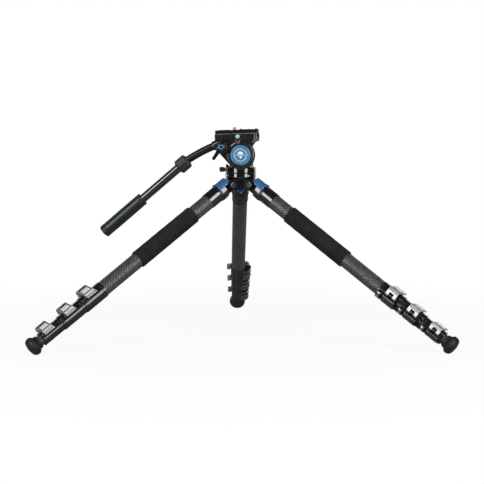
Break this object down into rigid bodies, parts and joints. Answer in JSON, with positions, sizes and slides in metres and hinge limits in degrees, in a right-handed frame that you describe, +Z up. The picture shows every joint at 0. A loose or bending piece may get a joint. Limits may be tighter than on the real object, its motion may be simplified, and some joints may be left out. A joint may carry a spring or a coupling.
{
  "type": "tripod with fluid head",
  "caption": "Carbon tripod with telescoping flip-lock legs, foam grips, a fluid pan and tilt head, a sliding camera plate and a pan handle.",
  "frame": {"origin": "on the floor, at the middle of the standing tripod's outline", "axes": "+Z up, +X along the longest side of the footprint towards the lens side of the head, +Y away from the two front legs"},
  "size_m": [0.7876, 0.686, 0.4122],
  "materials": {
    "black_metal": "semi-gloss black paint on cast metal",
    "lock_black": "gloss black",
    "handle_black": "gloss black anodised tube",
    "blue_anodised": "satin blue anodised",
    "silver_lever": "satin silver",
    "steel": "turned",
    "carbon_tube": "clear-coated carbon fibre weave",
    "foam_grip": "matte closed-cell foam",
    "foot_rubber": "matte black rubber",
    "grip_rubber": "soft moulded rubber",
    "black_plastic": "fine-grained moulded plastic",
    "level_vial": "clear tinted vial"
  },
  "bodies": {
    "hub": {"hub_spider": "black_metal", "mounting_stud": "steel", "pan_base": "black_metal"},
    "back_leg": {"back_leg_casting": "black_metal", "back_tube_1": "carbon_tube", "back_lock_collar_1": "lock_black"},
    "back_section_2": {"back_tube_2": "carbon_tube", "back_lock_collar_2": "lock_black"},
    "back_section_3": {"back_tube_3": "carbon_tube", "back_lock_collar_3": "lock_black"},
    "back_section_4": {"back_tube_4": "carbon_tube", "back_foot": "foot_rubber"},
    "back_angle_lock": {"back_angle_lock": "blue_anodised"},
    "back_lever_1": {"back_lock_lever_1": "silver_lever"},
    "back_lever_2": {"back_lock_lever_2": "silver_lever"},
    "back_lever_3": {"back_lock_lever_3": "silver_lever"},
    "left_leg": {"left_leg_casting": "black_metal", "left_tube_1": "carbon_tube", "left_lock_collar_1": "lock_black", "left_foam_grip": "foam_grip"},
    "left_section_2": {"left_tube_2": "carbon_tube", "left_lock_collar_2": "lock_black"},
    "left_section_3": {"left_tube_3": "carbon_tube", "left_lock_collar_3": "lock_black"},
    "left_section_4": {"left_tube_4": "carbon_tube", "left_foot": "foot_rubber"},
    "left_angle_lock": {"left_angle_lock": "blue_anodised"},
    "left_lever_1": {"left_lock_lever_1": "silver_lever"},
    "left_lever_2": {"left_lock_lever_2": "silver_lever"},
    "left_lever_3": {"left_lock_lever_3": "silver_lever"},
    "right_leg": {"right_leg_casting": "black_metal", "right_tube_1": "carbon_tube", "right_lock_collar_1": "lock_black", "right_foam_grip": "foam_grip"},
    "right_section_2": {"right_tube_2": "carbon_tube", "right_lock_collar_2": "lock_black"},
    "right_section_3": {"right_tube_3": "carbon_tube", "right_lock_collar_3": "lock_black"},
    "right_section_4": {"right_tube_4": "carbon_tube", "right_foot": "foot_rubber"},
    "right_angle_lock": {"right_angle_lock": "blue_anodised"},
    "right_lever_1": {"right_lock_lever_1": "silver_lever"},
    "right_lever_2": {"right_lock_lever_2": "silver_lever"},
    "right_lever_3": {"right_lock_lever_3": "silver_lever"},
    "pan_body": {"pan_body": "black_metal", "tilt_axle": "steel", "side_disc": "blue_anodised"},
    "pan_lock_knob": {"pan_lock_knob": "black_plastic"},
    "tilt_lock_knob": {"tilt_lock_knob": "black_plastic"},
    "tilt_head": {"tilt_housing": "black_metal", "bubble_level": "level_vial"},
    "camera_plate": {"camera_plate": "black_metal"},
    "camera_screw": {"camera_screw": "steel"},
    "plate_lock_knob": {"plate_lock_knob": "black_plastic"},
    "handle_clamp_lever": {"handle_clamp_lever": "black_plastic"},
    "handle_arm": {"handle_arm": "black_metal"},
    "handle_tube": {"handle_tube": "handle_black", "handle_grip": "grip_rubber"},
    "handle_collar": {"handle_collar": "grip_rubber"}
  },
  "joints": [
    {"name": "back_leg_spread", "type": "hinge", "parent": "hub", "child": "back_leg", "pos_m": [0, -0.08101, 0.3], "axis": [1, 0, 0], "range_deg": [-55.2, 24.8]},
    {"name": "back_angle_lock_pull", "type": "slide", "parent": "back_leg", "child": "back_angle_lock", "axis": [0, 0.8211, -0.5707], "range_m": [0, 0.004], "stiffness_N_per_m": 250, "springref_m": -0.002},
    {"name": "back_section_2_slide", "type": "slide", "parent": "back_leg", "child": "back_section_2", "axis": [0, 0.8211, -0.5707], "range_m": [0, 0.27]},
    {"name": "back_section_3_slide", "type": "slide", "parent": "back_section_2", "child": "back_section_3", "axis": [0, 0.8211, -0.5707], "range_m": [0, 0.27]},
    {"name": "back_section_4_slide", "type": "slide", "parent": "back_section_3", "child": "back_section_4", "axis": [0, 0.8211, -0.5707], "range_m": [0, 0.27]},
    {"name": "back_lock_1_flip", "type": "hinge", "parent": "back_leg", "child": "back_lever_1", "pos_m": [0.0215, 0.21917, 0.10111], "axis": [0, 0.8211, -0.5707], "range_deg": [0, 95]},
    {"name": "back_lock_2_flip", "type": "hinge", "parent": "back_section_2", "child": "back_lever_2", "pos_m": [0.0201, 0.26039, 0.07246], "axis": [0, 0.8211, -0.5707], "range_deg": [0, 95]},
    {"name": "back_lock_3_flip", "type": "hinge", "parent": "back_section_3", "child": "back_lever_3", "pos_m": [0.0187, 0.30309, 0.04278], "axis": [0, 0.8211, -0.5707], "range_deg": [0, 95]},
    {"name": "left_leg_spread", "type": "hinge", "parent": "hub", "child": "left_leg", "pos_m": [-0.02338, -0.12151, 0.3], "axis": [-0.5, 0.866, 0], "range_deg": [-55.2, 24.8]},
    {"name": "left_angle_lock_pull", "type": "slide", "parent": "left_leg", "child": "left_angle_lock", "axis": [-0.7111, -0.4106, -0.5707], "range_m": [0, 0.004], "stiffness_N_per_m": 250, "springref_m": -0.002},
    {"name": "left_section_2_slide", "type": "slide", "parent": "left_leg", "child": "left_section_2", "axis": [-0.7111, -0.4106, -0.5707], "range_m": [0, 0.27]},
    {"name": "left_section_3_slide", "type": "slide", "parent": "left_section_2", "child": "left_section_3", "axis": [-0.7111, -0.4106, -0.5707], "range_m": [0, 0.27]},
    {"name": "left_section_4_slide", "type": "slide", "parent": "left_section_3", "child": "left_section_4", "axis": [-0.7111, -0.4106, -0.5707], "range_m": [0, 0.27]},
    {"name": "left_lock_1_flip", "type": "hinge", "parent": "left_leg", "child": "left_lever_1", "pos_m": [-0.2941, -0.25298, 0.10111], "axis": [-0.7111, -0.4106, -0.5707], "range_deg": [0, 95]},
    {"name": "left_lock_2_flip", "type": "hinge", "parent": "left_section_2", "child": "left_lever_2", "pos_m": [-0.3291, -0.2748, 0.07246], "axis": [-0.7111, -0.4106, -0.5707], "range_deg": [0, 95]},
    {"name": "left_lock_3_flip", "type": "hinge", "parent": "left_section_3", "child": "left_lever_3", "pos_m": [-0.36537, -0.29736, 0.04278], "axis": [-0.7111, -0.4106, -0.5707], "range_deg": [0, 95]},
    {"name": "right_leg_spread", "type": "hinge", "parent": "hub", "child": "right_leg", "pos_m": [0.02338, -0.12151, 0.3], "axis": [-0.5, -0.866, 0], "range_deg": [-55.2, 24.8]},
    {"name": "right_angle_lock_pull", "type": "slide", "parent": "right_leg", "child": "right_angle_lock", "axis": [0.7111, -0.4106, -0.5707], "range_m": [0, 0.004], "stiffness_N_per_m": 250, "springref_m": -0.002},
    {"name": "right_section_2_slide", "type": "slide", "parent": "right_leg", "child": "right_section_2", "axis": [0.7111, -0.4106, -0.5707], "range_m": [0, 0.27]},
    {"name": "right_section_3_slide", "type": "slide", "parent": "right_section_2", "child": "right_section_3", "axis": [0.7111, -0.4106, -0.5707], "range_m": [0, 0.27]},
    {"name": "right_section_4_slide", "type": "slide", "parent": "right_section_3", "child": "right_section_4", "axis": [0.7111, -0.4106, -0.5707], "range_m": [0, 0.27]},
    {"name": "right_lock_1_flip", "type": "hinge", "parent": "right_leg", "child": "right_lever_1", "pos_m": [0.2726, -0.29022, 0.10111], "axis": [0.7111, -0.4106, -0.5707], "range_deg": [0, 95]},
    {"name": "right_lock_2_flip", "type": "hinge", "parent": "right_section_2", "child": "right_lever_2", "pos_m": [0.309, -0.30962, 0.07246], "axis": [0.7111, -0.4106, -0.5707], "range_deg": [0, 95]},
    {"name": "right_lock_3_flip", "type": "hinge", "parent": "right_section_3", "child": "right_lever_3", "pos_m": [0.34667, -0.32975, 0.04278], "axis": [0.7111, -0.4106, -0.5707], "range_deg": [0, 95]},
    {"name": "pan", "type": "hinge", "parent": "hub", "child": "pan_body", "pos_m": [0, -0.10801, 0.3225], "axis": [0, 0, 1], "continuous": true},
    {"name": "pan_lock", "type": "hinge", "parent": "pan_body", "child": "pan_lock_knob", "pos_m": [-0.0358, -0.10425, 0.3295], "axis": [-0.9945, 0.1045, 0], "range_deg": [0, 270]},
    {"name": "tilt", "type": "hinge", "parent": "pan_body", "child": "tilt_head", "pos_m": [0.00279, -0.1083, 0.3578], "axis": [0.1045, 0.9945, 0], "range_deg": [-25, 70]},
    {"name": "tilt_lock", "type": "hinge", "parent": "pan_body", "child": "tilt_lock_knob", "pos_m": [0.00738, -0.06454, 0.3578], "axis": [0.1045, 0.9945, 0], "range_deg": [0, 270]},
    {"name": "plate_slide", "type": "slide", "parent": "tilt_head", "child": "camera_plate", "axis": [0.9939, -0.1045, 0.0349], "range_m": [-0.025, 0.025]},
    {"name": "camera_screw_turn", "type": "hinge", "parent": "camera_plate", "child": "camera_screw", "pos_m": [-0.0117, -0.10678, 0.40232], "axis": [-0.0347, 0.0036, 0.9994], "continuous": true},
    {"name": "plate_lock", "type": "hinge", "parent": "tilt_head", "child": "plate_lock_knob", "pos_m": [0.01794, -0.06766, 0.3917], "axis": [0.1045, 0.9945, 0], "range_deg": [0, 270]},
    {"name": "handle_angle", "type": "hinge", "parent": "tilt_head", "child": "handle_arm", "pos_m": [-0.03716, -0.14819, 0.37317], "axis": [0.1045, 0.9945, 0], "range_deg": [-20, 80]},
    {"name": "handle_clamp", "type": "hinge", "parent": "tilt_head", "child": "handle_clamp_lever", "pos_m": [-0.03829, -0.15888, 0.37317], "axis": [0.1045, 0.9945, 0], "range_deg": [-45, 60]},
    {"name": "handle_extension", "type": "slide", "parent": "handle_arm", "child": "handle_tube", "axis": [-0.7579, 0.0797, -0.6475], "range_m": [0, 0.1]},
    {"name": "handle_collar_twist", "type": "hinge", "parent": "handle_tube", "child": "handle_collar", "pos_m": [-0.11196, -0.14033, 0.34062], "axis": [-0.7579, 0.0797, -0.6475], "range_deg": [0, 90]}
  ]
}
